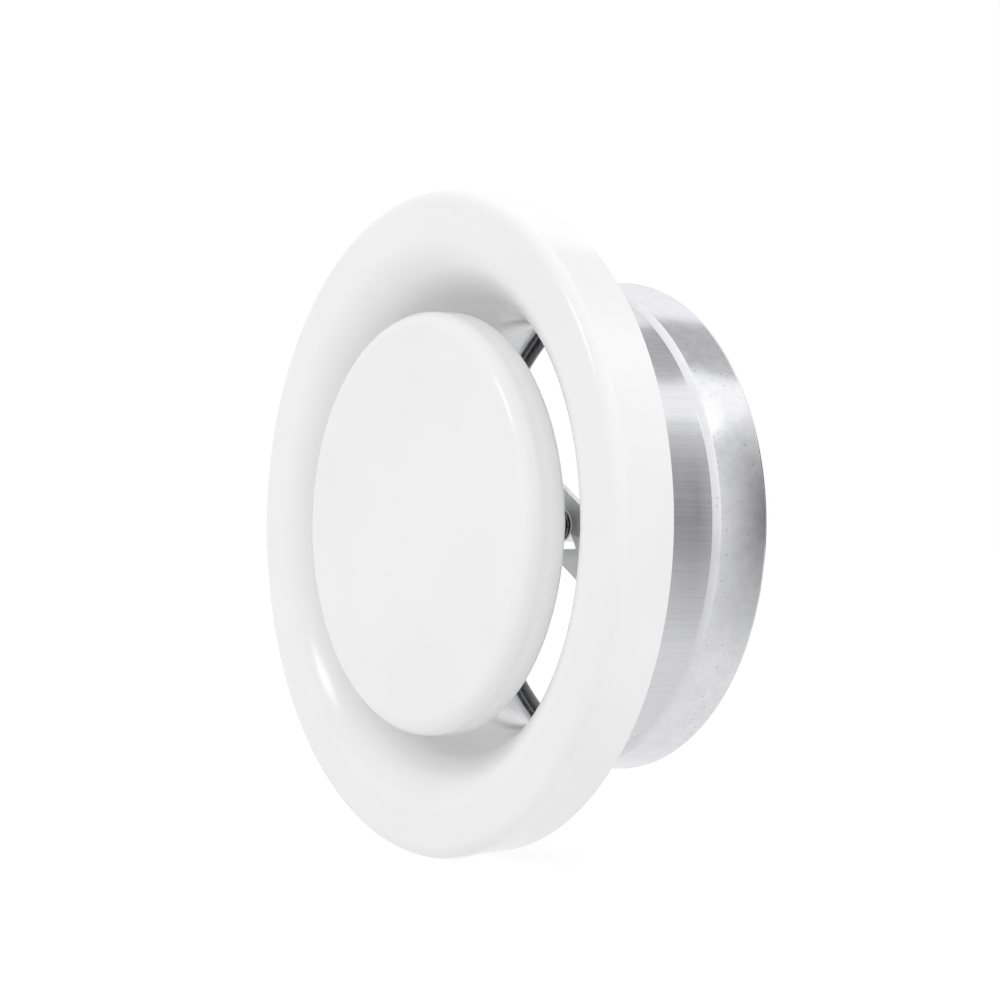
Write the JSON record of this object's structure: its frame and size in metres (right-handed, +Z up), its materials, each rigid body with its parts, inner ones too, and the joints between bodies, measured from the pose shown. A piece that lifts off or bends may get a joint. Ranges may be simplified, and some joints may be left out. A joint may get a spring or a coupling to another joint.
{
  "type": "ceiling air diffuser",
  "caption": "Round metal disc valve for a ventilation duct: white face ring with bell-mouth throat, adjustable disc on a threaded spindle and aluminium duct collar.",
  "frame": {"origin": "on the duct axis, in the plane of the face ring's rear rim, which lies on the ceiling or wall", "axes": "+Y along the duct axis into the duct, -Y into the room, +Z up as pictured with the axis level; on a ceiling -Y points down"},
  "size_m": [0.193, 0.0731, 0.193],
  "materials": {
    "white_powder_coat": "gloss",
    "collar_aluminium": "brushed",
    "zinc_plated_steel": "satin zinc plate",
    "spring_steel": "satin",
    "threaded_steel": "oiled thread",
    "foam": "matt closed-cell foam"
  },
  "bodies": {
    "valve_body": {"face_ring": "white_powder_coat", "ring_skirt": "white_powder_coat", "throat": "white_powder_coat", "rim_gasket": "foam", "duct_collar": "collar_aluminium", "collar_seal": "foam", "bridge_strap": "zinc_plated_steel", "thread_bush": "zinc_plated_steel", "bridge_rivet_1": "zinc_plated_steel", "bridge_rivet_2": "zinc_plated_steel", "bridge_rivet_3": "zinc_plated_steel", "bridge_rivet_4": "zinc_plated_steel", "spring_clip_1": "spring_steel", "spring_clip_2": "spring_steel", "spring_clip_3": "spring_steel", "clip_rivet_1": "zinc_plated_steel", "clip_rivet_2": "zinc_plated_steel", "clip_rivet_3": "zinc_plated_steel"},
    "spindle_slider": {"stop_washer": "zinc_plated_steel"},
    "disc": {"disc_shell": "white_powder_coat", "disc_backplate": "white_powder_coat", "spindle": "threaded_steel", "hub_nut_front": "zinc_plated_steel", "hub_washer": "zinc_plated_steel", "hub_nut_rear": "zinc_plated_steel", "stop_pin": "spring_steel"},
    "lock_slider": {"lock_washer": "zinc_plated_steel"},
    "lock_nut": {"lock_nut": "zinc_plated_steel"}
  },
  "joints": [
    {"name": "disc_travel", "type": "slide", "parent": "valve_body", "child": "spindle_slider", "axis": [0, 1, 0], "range_m": [-0.00876, 0.01501]},
    {"name": "disc_turn", "type": "hinge", "parent": "spindle_slider", "child": "disc", "pos_m": [0, 0, 0], "axis": [0, 1, 0], "range_deg": [-2520, 4320]},
    {"name": "lock_nut_travel", "type": "slide", "parent": "valve_body", "child": "lock_slider", "axis": [0, 1, 0], "range_m": [-0.00751, 0.00376]},
    {"name": "lock_nut_turn", "type": "hinge", "parent": "lock_slider", "child": "lock_nut", "pos_m": [0, 0.0223, 0], "axis": [0, 1, 0], "range_deg": [-2160, 1080]}
  ],
  "couplings": [
    {"joint": "disc_travel", "follows": "disc_turn", "m_per_rad": 0.00019894},
    {"joint": "lock_nut_travel", "follows": "lock_nut_turn", "m_per_rad": 0.00019894}
  ]
}
